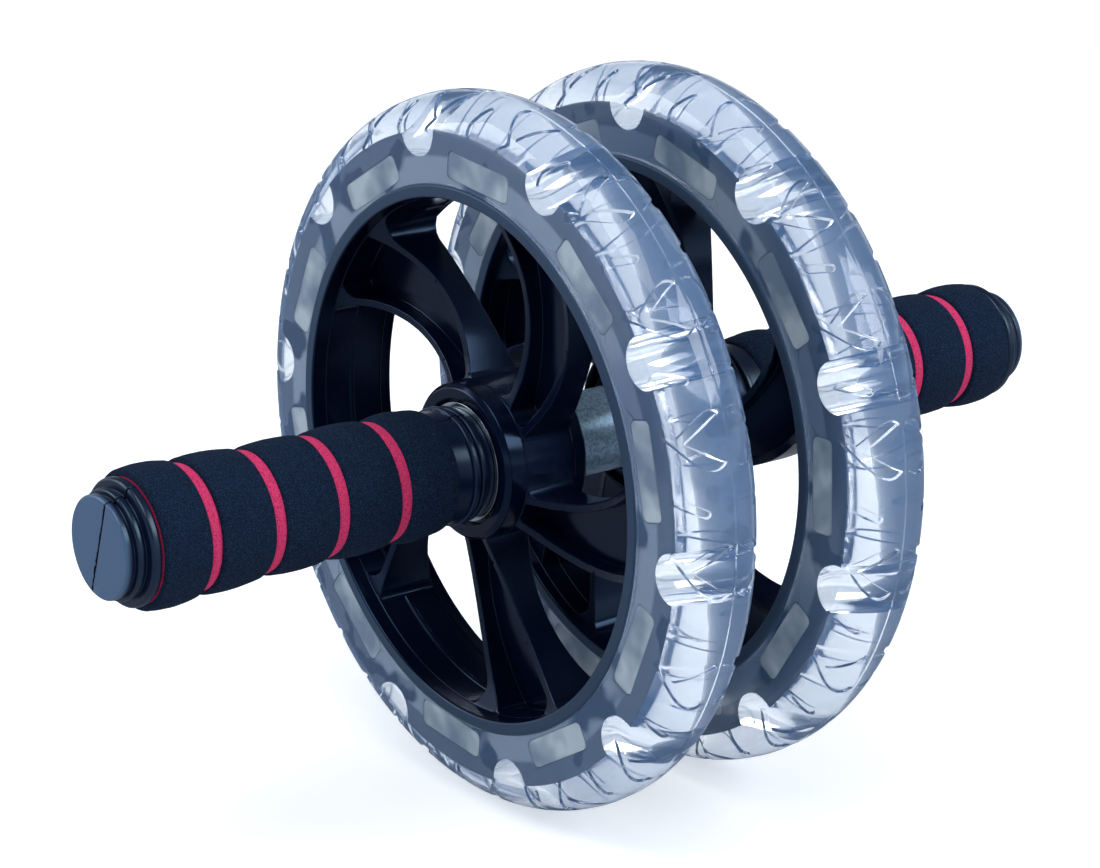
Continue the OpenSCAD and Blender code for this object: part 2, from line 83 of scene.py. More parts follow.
class Wire:
    # A value in a node tree. Sums of wires and numbers add their Math nodes.
    def __init__(self, tree, socket=None):
        self.tree, self.socket = tree, socket

    def node(self, kind, settings=None, sockets=None, out=0):
        made = self.tree.nodes.new(kind)
        for name, value in (settings or {}).items():
            if name == "stops":
                ramp = made.color_ramp.elements
                while len(ramp) < len(value):
                    ramp.new(0.5)
                for stop, (place, colour) in zip(ramp, value):
                    stop.position = place
                    stop.color = colour if isinstance(colour, tuple) else (colour, colour, colour, 1)
            else:
                setattr(made, name, value)
        for key, value in (sockets or {}).items():
            if isinstance(value, Wire):
                self.tree.links.new(value.socket, made.inputs[key])
            else:
                made.inputs[key].default_value = value
        return Wire(self.tree, made.outputs[out] if len(made.outputs) else None)

    def maths(self, operation, first, second):
        return self.node("ShaderNodeMath", {"operation": operation}, {0: first, 1: second})

    def __add__(self, other):
        return self.maths("ADD", self, other)

    def __radd__(self, other):
        return self.maths("ADD", other, self)

    def __sub__(self, other):
        return self.maths("SUBTRACT", self, other)

    def __rsub__(self, other):
        return self.maths("SUBTRACT", other, self)

    def __mul__(self, other):
        return self.maths("MULTIPLY", self, other)

    def __rmul__(self, other):
        return self.maths("MULTIPLY", other, self)

    def __pow__(self, other):
        return self.maths("POWER", self, other)

    def __abs__(self):
        return self.maths("ABSOLUTE", self, 0.0)


def startMaterial(name):
    material = bpy.data.materials.new(name)
    material.use_nodes = True
    material.node_tree.nodes.clear()
    return material, Wire(material.node_tree)


def finishMaterial(wire, shader):
    wire.node("ShaderNodeOutputMaterial", sockets={"Surface": shader})


def blendColours(wire, amount, first, second):
    return wire.node("ShaderNodeMix", {"data_type": "RGBA"}, {0: amount, 6: first, 7: second}, out=2)


def grain(wire, place, size, detail=2.0, rough=0.5):
    # Noise whose lumps are about size mm across
    return wire.node("ShaderNodeTexNoise", sockets={
        "Vector": place, "Scale": 1000 / size, "Detail": detail, "Roughness": rough})


def bump(wire, height, depth, strength=1.0, under=None):
    sockets = {"Height": height, "Distance": depth * mm, "Strength": strength}
    if under:
        sockets["Normal"] = under
    return wire.node("ShaderNodeBump", sockets=sockets)


def objectPlace(wire):
    return wire.node("ShaderNodeTexCoord", out=3)


# Wheels

wheels = {
    "middle": 27.4,  # mm from the roller's middle to a wheel's
    "window": 13.0,  # degrees from level to a window
    "turn": {"right": 0, "left": 169.0},  # degrees that a wheel stands turned on the axle
    "crotch": {"right": 17.2, "left": 20.2},  # degrees from level to a fork's crotch, before that turn
}


# Finishes

rimPlastic = {
    "colour": (0.0006, 0.0022, 0.011, 1), "gloss": 0.17, "sheenTint": (0.3, 0.55, 1.0, 1), "bend": 1.47,
    "worn": (0.034, 0.06, 0.11, 1), "lipFrom": 68.6,  # painted sheen on the lips, which are also a little rougher, and the radius where they start
    "pale": (0.2, 0.25, 0.33, 1), "vinylFrom": 71.8,  # painted sheen on the black rim under the vinyl, from this radius outwards
    "wet": (0.016, 0.03, 0.062, 1),  # a weaker painted sheen in the darker patches where the vinyl clings
}
cling = {"size": 17, "from": 0.55, "blocksFrom": 78.6, "onBlocks": 0.7}
capPlastic = {
    "colour": (0.001, 0.005, 0.024, 1), "gloss": 0.3, "sheenTint": (0.55, 0.8, 1.0, 1), "bend": 1.66,
    "worn": (0.07, 0.13, 0.25, 1), "endFrom": 147.0,  # painted sheen on the flat end, and where it starts
}
jointPlastic = {
    "colour": (0.0004, 0.0008, 0.003, 1), "gloss": 0.8, "sheenTint": (0.1, 0.12, 0.2, 1), "bend": 1.4,
}
clearVinyl = {
    "colour": (0.95, 0.98, 1.0, 1), "bend": 1.5, "wave": 0.1,
    "sideFrom": 12.1, "sideDull": 0.12,  # the flat sides start this far from a wheel's middle, and are duller
    # milk is the share that scatters light back like a thin fog, sideMilk the same on the flat sides
    "outside": {"gloss": 0.03, "milk": 0.16, "sideMilk": 0.12, "milkColour": (0.24, 0.5, 1.0, 1)},
    "inside": {"gloss": 0.04, "milk": 0.1, "sideMilk": 0.1, "milkColour": (0.24, 0.5, 1.0, 1)},
    "windowWall": {"gloss": 0.3, "milk": 0.9, "sideMilk": 0.9, "milkColour": (0.34, 0.4, 0.44, 1)},
}
frostedPane = {
    "colour": (0.8, 0.86, 0.85, 1), "dim": (0.4, 0.48, 0.57, 1), "blotch": 13,
    "least": 0.6, "most": 0.92,  # how solid its clearest and its dullest places are
}
blackFoam = {"colour": (0.002, 0.009, 0.028, 1), "fleck": (0.015, 0.041, 0.102, 1), "cell": 0.45}
redFoam = {"colour": (0.82, 0.06, 0.2, 1), "fleck": (0.5, 0.02, 0.1, 1), "cell": 0.5}
zincTube = {"colour": (0.09, 0.22, 0.45, 1), "pale": (0.6, 0.85, 1.0, 1), "spangle": 0.7, "metallic": 0.6}
plating = {"colour": (0.55, 0.62, 0.7, 1), "gloss": 0.2}
springSteel = {"colour": (0.03, 0.033, 0.04, 1), "gloss": 0.35}
screwZinc = {"colour": (0.45, 0.46, 0.48, 1), "gloss": 0.3}
nylon = {"colour": (0.62, 0.61, 0.55, 1), "gloss": 0.45}


def aboutAxle(wire, place):
    # Distance of a point from the axle
    flat = wire.node("ShaderNodeVectorMath", {"operation": "MULTIPLY_ADD"}, {
        0: place, 1: (1, 0, 1), 2: (0, 0, -axleHeight * mm)})
    return wire.node("ShaderNodeVectorMath", {"operation": "LENGTH"}, {0: flat}, out=1)


def between(wire, value, low, high):
    return wire.node("ShaderNodeMapRange", sockets={0: value, 1: low, 2: high})


def clinging(wire, place, radius, look):
    # 1 where the vinyl lies tight on the rim: on the blocks' outer part and in patches
    patch = between(wire, grain(wire, place, look["size"], 2, 0.45), look["from"], look["from"] + 0.05)
    onBlocks = between(wire, radius, look["blocksFrom"] * mm, (look["blocksFrom"] + 1) * mm)
    return wire.maths("MAXIMUM", patch, onBlocks * look["onBlocks"])


def mouldedPlastic(name, look):
    material, wire = startMaterial(name)
    place = objectPlace(wire)
    smear = grain(wire, place, 22, 3)
    fine = grain(wire, place, 0.9, 2)
    skin = bump(wire, smear * 0.8 + fine * 0.03, 0.25, 0.35)
    gloss = smear * 0.12 + (look["gloss"] - 0.06) + fine * 0.03
    pale = tuple(c * 1.6 for c in look["colour"][:3]) + (1,)
    colour = blendColours(wire, smear, look["colour"], pale)
    if "lipFrom" in look:
        # The lips get a painted sheen and are a little rougher.
        radius = aboutAxle(wire, place)
        worn = between(wire, radius, look["lipFrom"] * mm, (look["lipFrom"] + 0.3) * mm)
        gloss = gloss + worn * 0.2
        # Under the vinyl the black rim gets a painted sheen, weaker in the patches where the vinyl clings.
        under = between(wire, radius, look["vinylFrom"] * mm, (look["vinylFrom"] + 0.5) * mm)
        sheenUnderVinyl = blendColours(wire, clinging(wire, place, radius, cling), look["pale"], look["wet"])
        colour = blendColours(wire, worn, colour, blendColours(wire, under, look["worn"], sheenUnderVinyl))
    if "endFrom" in look:
        # The flat end gets a painted sheen.
        along = abs(wire.node("ShaderNodeSeparateXYZ", sockets={0: place}, out=1))
        worn = between(wire, along, (look["endFrom"] - 1.2) * mm, look["endFrom"] * mm)
        colour = blendColours(wire, worn, colour, look["worn"])
    finishMaterial(wire, wire.node("ShaderNodeBsdfPrincipled", sockets={
        "Base Color": colour, "Roughness": gloss, "Normal": skin,
        "Specular Tint": look["sheenTint"], "IOR": look["bend"]}))
    return material


def vinyl(name, look, part):
    # Clear plastic, milky in part
    material, wire = startMaterial(name)
    place = objectPlace(wire)
    wave = grain(wire, place, 14, 1)
    scuff = grain(wire, place, 1.1, 3, 0.6)
    cloud = grain(wire, place, 18, 2)
    skin = bump(wire, wave, look["wave"], 1.0)
    across = wire.node("ShaderNodeSeparateXYZ", sockets={0: place}, out=1)
    fromMiddle = abs(abs(across) - wheels["middle"] * mm)
    onSide = between(wire, fromMiddle, look["sideFrom"] * mm, (look["sideFrom"] + 0.4) * mm)
    clear = wire.node("ShaderNodeBsdfPrincipled", sockets={
        "Base Color": look["colour"],
        "Roughness": (scuff ** 3.0) * 0.12 + onSide * look["sideDull"] + part["gloss"],
        "IOR": look["bend"], "Transmission Weight": 1.0, "Normal": skin})
    milky = wire.node("ShaderNodeBsdfPrincipled", sockets={
        "Base Color": part["milkColour"], "Roughness": 0.25, "IOR": look["bend"], "Normal": skin})
    share = ((cloud - 0.5) * 0.5 + 1.0) * (onSide * part["sideMilk"] + (1.0 - onSide) * part["milk"])
    finishMaterial(wire, wire.node("ShaderNodeMixShader", sockets={0: share, 1: clear, 2: milky}))
    return material


def clingingVinyl(name, look, patches):
    # The flat inner faces: clear with a film of air behind, and without it where they cling to the rim
    material, wire = startMaterial(name)
    place = objectPlace(wire)
    clear = wire.node("ShaderNodeBsdfPrincipled", sockets={
        "Base Color": look["colour"], "Roughness": look["inside"]["gloss"], "IOR": look["bend"],
        "Transmission Weight": 1.0})
    tight = wire.node("ShaderNodeBsdfTransparent")
    share = clinging(wire, place, aboutAxle(wire, place), patches)
    finishMaterial(wire, wire.node("ShaderNodeMixShader", sockets={0: share, 1: clear, 2: tight}))
    return material


def frosted(name, look):
    # The dull inner face of a window, through which a little shows
    material, wire = startMaterial(name)
    place = objectPlace(wire)
    blotch = between(wire, grain(wire, place, look["blotch"], 2), 0.38, 0.62)
    finishMaterial(wire, wire.node("ShaderNodeBsdfPrincipled", sockets={
        "Base Color": blendColours(wire, blotch, look["dim"], look["colour"]), "Roughness": 0.6, "IOR": 1.1,
        "Alpha": blotch * (look["most"] - look["least"]) + look["least"]}))
    return material


def foam(name, look):
    material, wire = startMaterial(name)
    place = objectPlace(wire)
    cells = wire.node("ShaderNodeTexVoronoi", {"feature": "F1"}, {
        "Vector": place, "Scale": 1000 / look["cell"], "Randomness": 1.0})
    fluff = grain(wire, place, look["cell"] * 0.8, 3, 0.65)
    patch = grain(wire, place, 9, 3)
    speck = wire.node("ShaderNodeValToRGB", {"stops": [(0.45, 0.0), (0.66, 1.0)]}, {"Fac": fluff})
    colour = blendColours(wire, speck, look["colour"], look["fleck"])
    skin = bump(wire, cells * 0.7 + fluff * 0.9 + patch * 0.8, 0.3, 1.0)
    finishMaterial(wire, wire.node("ShaderNodeBsdfPrincipled", sockets={
        "Base Color": colour, "Roughness": patch * 0.15 + 0.8, "Normal": skin, "Specular IOR Level": 0.15}))
    return material


def galvanised(name, look):
    material, wire = startMaterial(name)
    place = objectPlace(wire)
    push = wire.node("ShaderNodeTexNoise", sockets={"Vector": place, "Scale": 500, "Detail": 2.0}, out=1)
    small = wire.node("ShaderNodeVectorMath", {"operation": "SCALE"}, {0: push, 3: 1.2 * mm})
    bent = wire.node("ShaderNodeVectorMath", {"operation": "ADD"}, {0: place, 1: small})
    flake = wire.node("ShaderNodeTexVoronoi", {"feature": "F1"}, {
        "Vector": bent, "Scale": 1000 / look["spangle"]}, out=1)
    shade = wire.node("ShaderNodeRGBToBW", sockets={"Color": flake})
    frost = grain(wire, place, 0.7, 3, 0.7)
    mix = shade * 0.6 + frost * 0.4
    finishMaterial(wire, wire.node("ShaderNodeBsdfPrincipled", sockets={
        "Base Color": blendColours(wire, mix, look["colour"], look["pale"]), "Metallic": look["metallic"],
        "Roughness": shade * 0.12 + frost * 0.12 + 0.24,
        "Normal": bump(wire, frost * 0.5 + shade * 0.5, 0.03, 0.5)}))
    return material


def turnedMetal(name, look):
    material, wire = startMaterial(name)
    place = objectPlace(wire)
    fine = grain(wire, place, 0.5, 2)
    smear = grain(wire, place, 6, 2)
    finishMaterial(wire, wire.node("ShaderNodeBsdfPrincipled", sockets={
        "Base Color": look["colour"], "Metallic": 1.0,
        "Roughness": fine * 0.08 + smear * 0.08 + (look["gloss"] - 0.06),
        "Normal": bump(wire, fine, 0.01, 0.4)}))
    return material


def waxyPlastic(name, look):
    material, wire = startMaterial(name)
    place = objectPlace(wire)
    smear = grain(wire, place, 5, 3)
    pale = tuple(min(1, c * 1.15) for c in look["colour"][:3]) + (1,)
    finishMaterial(wire, wire.node("ShaderNodeBsdfPrincipled", sockets={
        "Base Color": blendColours(wire, smear, look["colour"], pale),
        "Roughness": smear * 0.1 + look["gloss"], "Normal": bump(wire, smear, 0.05, 0.4)}))
    return material


rimFinish = mouldedPlastic("gloss black rim", rimPlastic)
capFinish = mouldedPlastic("satin black handle", capPlastic)
jointFinish = mouldedPlastic("dark joint edge", jointPlastic)
vinylFinish = vinyl("clear vinyl", clearVinyl, clearVinyl["outside"])
seatFinish = vinyl("clear vinyl inside", clearVinyl, clearVinyl["inside"])
clingFinish = clingingVinyl("clinging vinyl", clearVinyl, cling)
cloudyFinish = vinyl("cloudy vinyl", clearVinyl, clearVinyl["windowWall"])
paneFinish = frosted("frosted pane", frostedPane)
blackFoamFinish = foam("black foam", blackFoam)
redFoamFinish = foam("red foam", redFoam)
tubeFinish = galvanised("galvanised tube", zincTube)
washerFinish = turnedMetal("bright washer", plating)
clipFinish = turnedMetal("black spring steel", springSteel)
screwFinish = turnedMetal("zinc screw", screwZinc)
bushFinish = waxyPlastic("nylon bush", nylon)

finishByPiece = {
    "axle_tube": tubeFinish, "rim": rimFinish, "handle_front_shell": capFinish,
    "handle_rear_shell": capFinish, "handle_screws": screwFinish, "grip_liner": redFoamFinish,
    "grip_bands": blackFoamFinish, "outer_washer": washerFinish, "inner_washer": washerFinish,
    "circlip": clipFinish, "tyre": vinylFinish, "outer_bush": bushFinish, "inner_bush": bushFinish,
}
for name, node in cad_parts.items():
    finish = finishByPiece[name.removeprefix("right_").removeprefix("left_")]
    node.data.materials.clear()
    node.data.materials.append(finish)
print("finishes made")


# Tread tile

tread = {
    "tyreRadius": 94.4, "shoulder": 11.6, "halfWidth": 12.6, "bore": 72.06,
    "forks": 18, "grooveDepth": 0.6, "wall": 0.24,  # half the width of a groove's sloping wall
    "armWidth": 12.0, "crotch": 10.1, "armEnd": 1.2, "belly": 1.2, "stem": 3.0, "lean": 4.3,
    "slotLength": 6.7, "slotWidth": 1.9, "slotAt": 9.4, "slotTurn": 35.0,
    "partingHeight": 0.14, "partingWidth": 0.32,
    "fadeOver": 2.2, "fadeEnd": 0.8,  # mm before the shoulder's end over which the grooves run out
    "start": -6.2,  # degrees from a fork's crotch to the tile's first edge
    "fine": 0.46, "coarse": 1.15,  # mm between points along grooves and elsewhere
    "rows": (0, -0.5, 0.5, -1, 1, -1.9, 1.9),  # where rows of points follow a groove's line, in walls
    "rowGap": 0.1, "leastGap": 0.09,  # mm that the rows' points, and all points, keep apart
    "clearOf": 2.6,  # walls that the coarse points keep from a groove's line
}


def eased(x):
    return x * x * (3 - 2 * x)


def bend(p, q, r, s, count):
    t = np.linspace(0, 1, count)[:, None]
    u = 1 - t
    return u**3 * p + 3 * u * u * t * q + 3 * u * t * t * r + t**3 * s


def alongEvenly(points, gap):
    # The same closed line with its points about gap apart, corners kept
    out = []
    for a, b in zip(points, np.roll(points, -1, axis=0)):
        steps = max(1, int(round(np.hypot(*(b - a)) / gap)))
        out += [a + (b - a) * i / steps for i in range(steps)]
    return np.array(out)


def forkLine(t):
    # Outline of a forked groove: x goes round the tyre and y across it
    arm, belly, stem, lean, crotch = t["armWidth"] / 2, t["belly"], t["stem"], t["lean"], t["crotch"]
    end, outside = t["armEnd"], t["halfWidth"] - 0.12

    def p(x, y):
        return np.array([x, y], float)

    lines = [
        bend(p(arm, end), p(arm + 2 * belly, crotch / 3), p(arm + belly / 2, crotch * 0.7),
             p(stem / 2, crotch + stem / 3), 18),
        bend(p(stem / 2, crotch + stem / 3), p(stem / 2 + 1, crotch + stem / 2),
             p(lean + stem / 2 - 1, outside - 0.4), p(lean + stem / 2, outside), 6),
        bend(p(lean - stem / 2, outside), p(-(arm + belly) / 2, crotch + stem / 4),
             p(-arm - 4 * belly, crotch * 0.6), p(-arm, end), 26),
        bend(p(-arm, end), p(-arm + belly / 2, crotch / 3), p(-arm / 3, crotch * 0.8), p(0, crotch), 14),
        bend(p(0, crotch), p(arm / 3, crotch * 0.8), p(arm - belly / 2, crotch / 3), p(arm, end), 14),
    ]
    return np.concatenate([line[:-1] for line in lines])


def slotLine(t, pitch):
    # Outline of the short slot between two forks
    half, r = (t["slotLength"] - t["slotWidth"]) / 2, t["slotWidth"] / 2
    turn = math.radians(-t["slotTurn"])
    ring = [(r * math.cos(a), half + r * math.sin(a)) for a in np.radians(np.arange(0, 180, 12))]
    ring += [(r * math.cos(a), -half + r * math.sin(a)) for a in np.radians(np.arange(180, 360, 12))]
    c, s = math.cos(turn), math.sin(turn)
    return np.array(ring) @ np.array([[c, s], [-s, c]]) + np.array([pitch / 2, t["slotAt"]])


class TyreSection:
    # Turns a distance along the tyre's section into radius, place across and slope
    def __init__(self, t):
        self.t = t
        self.flat = t["halfWidth"] - t["shoulder"]
        self.shoulderEnd = self.flat + t["shoulder"] * math.pi / 2
        self.end = self.shoulderEnd + t["tyreRadius"] - t["shoulder"] - t["bore"]

    def along(self, across):
        size = np.abs(across)
        t = np.clip((size - self.flat) / self.t["shoulder"], 0, 1)
        far = np.where(size > self.flat, self.flat + self.t["shoulder"] * np.arcsin(t), size)
        return np.sign(across) * far

    def place(self, along, depth):
        t = self.t
        size = np.abs(along)
        slope = np.clip((size - self.flat) / t["shoulder"], 0, math.pi / 2)
        side = np.clip(size - self.shoulderEnd, 0, None)
        radius = t["tyreRadius"] - t["shoulder"] + t["shoulder"] * np.cos(slope) - side
        across = np.where(size < self.flat, size, self.flat + t["shoulder"] * np.sin(slope))
        return radius - depth * np.cos(slope), np.sign(along) * (across - depth * np.sin(slope))


def insideLine(points, line):
    x, y = points[:, :1], points[:, 1:]
    a, b = line, np.roll(line, -1, axis=0)
    crosses = (a[:, 1] > y) != (b[:, 1] > y)
    with np.errstate(divide="ignore", invalid="ignore"):
        at = (b[:, 0] - a[:, 0]) * (y - a[:, 1]) / (b[:, 1] - a[:, 1]) + a[:, 0]
    return (crosses & (x < at)).sum(axis=1) % 2 == 1


def distanceToLine(points, line):
    a, b = line, np.roll(line, -1, axis=0)
    d = b - a
    w = points[:, None, :] - a[None]
    t = np.clip((w * d).sum(-1) / np.maximum((d * d).sum(-1), 1e-12), 0, 1)
    return np.sqrt(((w - t[..., None] * d) ** 2).sum(-1)).min(axis=1)


def thinOut(points, gap):
    # Drops points that are closer than gap to an earlier one
    kept, cells = [], {}
    for p in points:
        key = (int(p[0] // gap), int(p[1] // gap))
        near = [q for i in (-1, 0, 1) for j in (-1, 0, 1) for q in cells.get((key[0] + i, key[1] + j), ())]
        if all((p[0] - q[0]) ** 2 + (p[1] - q[1]) ** 2 >= gap * gap for q in near):
            cells.setdefault(key, []).append(p)
            kept.append(p)
    return np.array(kept)


def toNearest(points, lines):
    return np.minimum.reduce([distanceToLine(points, line) for line in lines])


def grooveLines(t, section, pitch):
    # Outlines of one pitch's forks and slots, unrolled flat
    lines = []
    for side in (1, -1):
        for line in (forkLine(t), slotLine(t, pitch)):
            line = line * (1, side)
            lines.append(alongEvenly(np.stack([line[:, 0], section.along(line[:, 1])], 1), t["fine"]))
    return lines


def rowsAlong(t, lines):
    # Rows of points on both sides of each outline, which keep a groove's wall smooth
    rows = []
    for line in lines:
        tangent = np.roll(line, -1, axis=0) - np.roll(line, 1, axis=0)
        size = np.maximum(np.hypot(*tangent.T), 1e-9)[:, None]
        normal = np.stack([-tangent[:, 1], tangent[:, 0]], 1) / size
        for offset in t["rows"]:
            row = line + normal * offset * t["wall"]
            rows.append(row[toNearest(row, lines) > abs(offset) * t["wall"] - 0.03])
    return thinOut(np.concatenate(rows), t["rowGap"])


def edgeAndFill(t, section, lines, low, high):
    # The tile's outer points, which its neighbours share, and a coarse spread between the grooves
    along = [0, 0.16, 0.32, 0.6]
    along += list(np.arange(1.5, section.shoulderEnd, t["coarse"])) + [section.shoulderEnd]
    along += list(np.linspace(section.shoulderEnd, section.end, 5)[1:])
    along = sorted(set([round(a, 6) for a in along] + [round(-a, 6) for a in along]))
    inner = np.linspace(low, high, int(round(360 / t["forks"])) + 1)[1:-1]
    fill = []
    for n, a in enumerate(along):
        if abs(a) > section.end - 1e-4:
            continue
        steps = inner if abs(a) > section.shoulderEnd - 3 else np.linspace(low, high, 31)[1:-1]
        staggered = n % 2 and 0.7 <= abs(a) < section.shoulderEnd
        shift = (steps[1] - steps[0]) / 2 if staggered else 0
        fill += [(u + shift, a) for u in steps if u + shift < high - 0.3]
    fill = np.array(fill)
    edge = [(u, a) for u in (low, high) for a in along]
    edge += [(u, a) for a in (along[0], along[-1]) for u in inner]
    return np.array(edge), fill[toNearest(fill, lines) > t["clearOf"] * t["wall"]]


def depthUnderSkin(t, section, lines, flat):
    # How far each point lies under the smooth tyre: the grooves go in and the parting line stands out
    depth = np.zeros(len(flat))
    for line in lines:
        gap = distanceToLine(flat, line) * np.where(insideLine(flat, line), 1, -1)
        depth = np.maximum(depth, t["grooveDepth"] * eased(np.clip(gap / (2 * t["wall"]) + 0.5, 0, 1)))
    across = np.abs(flat[:, 1])
    depth *= eased(np.clip((section.shoulderEnd - t["fadeEnd"] - across) / t["fadeOver"], 0, 1))
    return depth - t["partingHeight"] * np.clip(1 - across / t["partingWidth"], 0, 1)


def treadTile(t):
    # One pitch of the tread with the tyre's sides, as points and faces about the axle
    section = TyreSection(t)
    degree = 2 * math.pi * t["tyreRadius"] / 360  # mm round the tyre
    pitch = 360 / t["forks"] * degree
    low = t["start"] * degree
    high = low + pitch
    lines = grooveLines(t, section, pitch)
    edge, fill = edgeAndFill(t, section, lines, low, high)
    every = thinOut(np.concatenate([edge, rowsAlong(t, lines), fill]), t["leastGap"])
    triangles = delaunay_2d_cdt([Vector(p) for p in every], [], [], 0, 1e-6)
    flat = np.array([tuple(v) for v in triangles[0]])
    radius, side = section.place(flat[:, 1], depthUnderSkin(t, section, lines, flat))
    angle = flat[:, 0] / degree * math.pi / 180
    points = np.stack([radius * np.cos(angle), -side, radius * np.sin(angle)], 1)
    return points, [tuple(f) for f in triangles[2]]


# Tyre's seat round the rim's blocks

seat = {
    "blocks": 10, "blockRadius": 85.3, "halfWidth": 11.0, "gap": 0.06, "valley": 7.0, "valleyFloor": 78.8,
    "windowIn": 72.8, "windowHeight": 7.3, "windowWidth": 25.4, "windowCorner": 1.8,
    "paneDepth": 0.3, "paneThick": 0.15, "paneSize": 0.985,
}


def seatOutline(s, bore, gap, pitch):
    # The hollow from valley to valley over one block, and the bore under it
    outer, centre, r = s["blockRadius"] + gap, s["valleyFloor"] + s["valley"], s["valley"] - gap
    meet = math.acos((outer * outer + centre * centre - r * r) / (2 * outer * centre))
    corner = math.atan2(outer * math.sin(meet), outer * math.cos(meet) - centre)
    start = [(centre + r * math.cos(a), r * math.sin(a)) for a in np.linspace(math.pi, corner, 15)]
    top = [(outer * math.cos(a), outer * math.sin(a))
           for a in np.linspace(meet, math.radians(pitch) - meet, 30)[1:-1]]
    c, w = math.cos(math.radians(pitch)), math.sin(math.radians(pitch))
    finish = [(x * c + y * w, x * w - y * c) for x, y in reversed(start)]
    base = [(bore * math.cos(a), bore * math.sin(a)) for a in np.radians(np.arange(0, pitch + 0.5))]
    return np.array(start + top + finish), np.array(base)


def windowOutline(s, gap, pitch):
    half, e = s["windowWidth"] / 2 - gap, s["windowCorner"] - gap
    low, high = s["windowIn"] + gap, s["windowIn"] + s["windowHeight"] - gap
    corners = (
        (high - e, half - e, 0), (low + e, half - e, 90), (low + e, e - half, 180), (high - e, e - half, 270),
    )
    hole = [(x + e * math.cos(a), y + e * math.sin(a))
            for x, y, first in corners for a in np.radians(np.arange(first, first + 91, 15))]
    m = math.radians(pitch / 2)
    return np.array(hole) @ np.array([[math.cos(m), math.sin(m)], [-math.sin(m), math.cos(m)]])


def seatTile(s, t):
    # One pitch of the hollow that holds the rim's blocks: its points, its parts' faces and the window
    gap, pitch = s["gap"], 360 / s["blocks"]
    rim, base = seatOutline(s, t["bore"], gap, pitch)
    hole = windowOutline(s, gap, pitch)
    loop = np.concatenate([rim, base[::-1]])

    def ring(first, n):
        return [(first + i, first + (i + 1) % n) for i in range(n)]

    made = delaunay_2d_cdt([Vector(p) for p in np.concatenate([loop, hole])],
                           ring(0, len(loop)) + ring(len(loop), len(hole)), [], 0, 1e-7)
    plane = np.array([tuple(v) for v in made[0]])
    middle = np.array([plane[list(f)].mean(axis=0) for f in made[2]])
    keep = insideLine(middle, loop) & ~insideLine(middle, hole)
    wall, points = s["halfWidth"] + gap, []
    parts = {"sides": [], "seat": [], "windowWalls": []}
    for side in (-1, 1):
        first = len(points)
        points += [(x, side * wall, y) for x, y in plane]
        parts["sides"] += [tuple(first + i for i in f) for f, k in zip(made[2], keep) if k]

    def strip(part, line, closed, low, high):
        first, n = len(points), len(line)
        points.extend([(x, low, y) for x, y in line] + [(x, high, y) for x, y in line])
        for i in range(n if closed else n - 1):
            j = (i + 1) % n
            parts[part].append((first + i, first + j, first + n + j, first + n + i))

    strip("seat", rim, False, -wall, wall)
    for side in (-1, 1):
        strip("seat", base, False, side * wall, side * t["halfWidth"])
    strip("windowWalls", hole, True, -wall, wall)
    return np.array(points), parts, hole


def paneTile(hole, s):
    # A thin closed pane near each mouth of a window
    n, middle = len(hole), hole.mean(axis=0)
    line = middle + (hole - middle) * s["paneSize"]
    points, faces = [], []
    for deep in (s["paneDepth"], s["paneDepth"] + s["paneThick"]):
        for side in (-1, 1):
            points += [(x, side * (s["halfWidth"] - deep), y) for x, y in line]
    for near, far in ((0, 2 * n), (n, 3 * n)):
        faces += [tuple(near + i for i in range(n)), tuple(far + i for i in reversed(range(n)))]
        faces += [(near + i, far + i, far + (i + 1) % n, near + (i + 1) % n) for i in range(n)]
    return np.array(points), faces


# Rings by Geometry Nodes

def ringNodes(name):
    # Copies a tile round the axle and gives the ring its finish
    tree = bpy.data.node_groups.new(name, "GeometryNodeTree")
    for title, kind in (("Tile", "Geometry"), ("Copies", "Int"), ("First Angle", "Float"), ("Lift", "Vector"),
                        ("Finish", "Material")):
        tree.interface.new_socket(title, in_out="INPUT", socket_type="NodeSocket" + kind)
    tree.interface.new_socket("Ring", in_out="OUTPUT", socket_type="NodeSocketGeometry")
    wire = Wire(tree)
    given = tree.nodes.new("NodeGroupInput")
    take = {s.name: Wire(tree, s) for s in given.outputs if s.name}
    index = wire.node("GeometryNodeInputIndex")
    step = wire.maths("DIVIDE", 2 * math.pi, take["Copies"])
    turn = wire.node("ShaderNodeCombineXYZ", sockets={"Y": 0 - (index * step + take["First Angle"])})
    places = wire.node("GeometryNodePoints", sockets={"Count": take["Copies"]})
    asOne = wire.node("GeometryNodeGeometryToInstance", sockets={"Geometry": take["Tile"]})
    copies = wire.node("GeometryNodeInstanceOnPoints", sockets={
        "Points": places, "Instance": asOne, "Rotation": turn})
    moved = wire.node("GeometryNodeTransform", sockets={"Geometry": copies, "Translation": take["Lift"]})
    real = wire.node("GeometryNodeRealizeInstances", sockets={"Geometry": moved})
    done = wire.node("GeometryNodeSetMaterial", sockets={"Geometry": real, "Material": take["Finish"]})
    wire.node("NodeGroupOutput", sockets={"Ring": done})
    return tree


ringTree = ringNodes("tiles round the axle")


def meshObject(name, points, faces):
    mesh = bpy.data.meshes.new(name)
    mesh.from_pydata([tuple(p) for p in points], [], faces)
    return addObject(name, mesh)


def bakeNodes(piece, tree, values):
    # Runs a node tree on a piece and returns the plain mesh
    modifier = piece.modifiers.new("nodes", "NODES")
    modifier.node_group = tree
    for item in tree.interface.items_tree:
        if item.in_out == "INPUT" and item.name in values:
            modifier[item.identifier] = values[item.name]
    ready = piece.evaluated_get(bpy.context.evaluated_depsgraph_get())
    mesh = bpy.data.meshes.new_from_object(ready)
    piece.modifiers.clear()
    bpy.data.objects.remove(piece)
    return mesh


